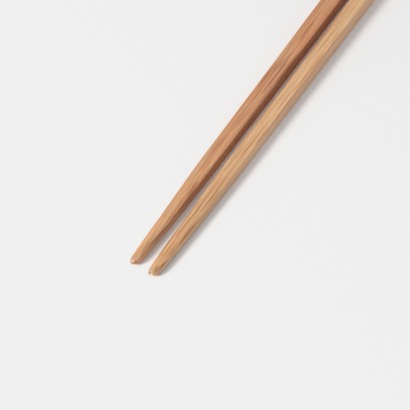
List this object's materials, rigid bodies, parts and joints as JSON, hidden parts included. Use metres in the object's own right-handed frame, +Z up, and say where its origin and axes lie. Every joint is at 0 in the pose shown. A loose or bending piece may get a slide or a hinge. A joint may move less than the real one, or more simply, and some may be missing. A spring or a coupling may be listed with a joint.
{
  "type": "pair of bamboo chopsticks",
  "caption": "Slim square-sided bamboo chopsticks that taper to rounded blunt tips, laid side by side for eating with.",
  "frame": {"origin": "middle of the pair's own box, on the surface that the sticks lie on", "axes": "+Y along the sticks, from the tips to the heads; +X from the left stick to the right one; +Z up"},
  "size_m": [0.018, 0.231, 0.0086],
  "materials": {
    "darker_bamboo": "steamed brown bamboo, planed and lightly sanded, satin",
    "lighter_bamboo": "steamed light brown bamboo, planed and lightly sanded, satin"
  },
  "bodies": {
    "root": {"left_chopstick": "darker_bamboo", "right_chopstick": "lighter_bamboo"}
  },
  "joints": []
}
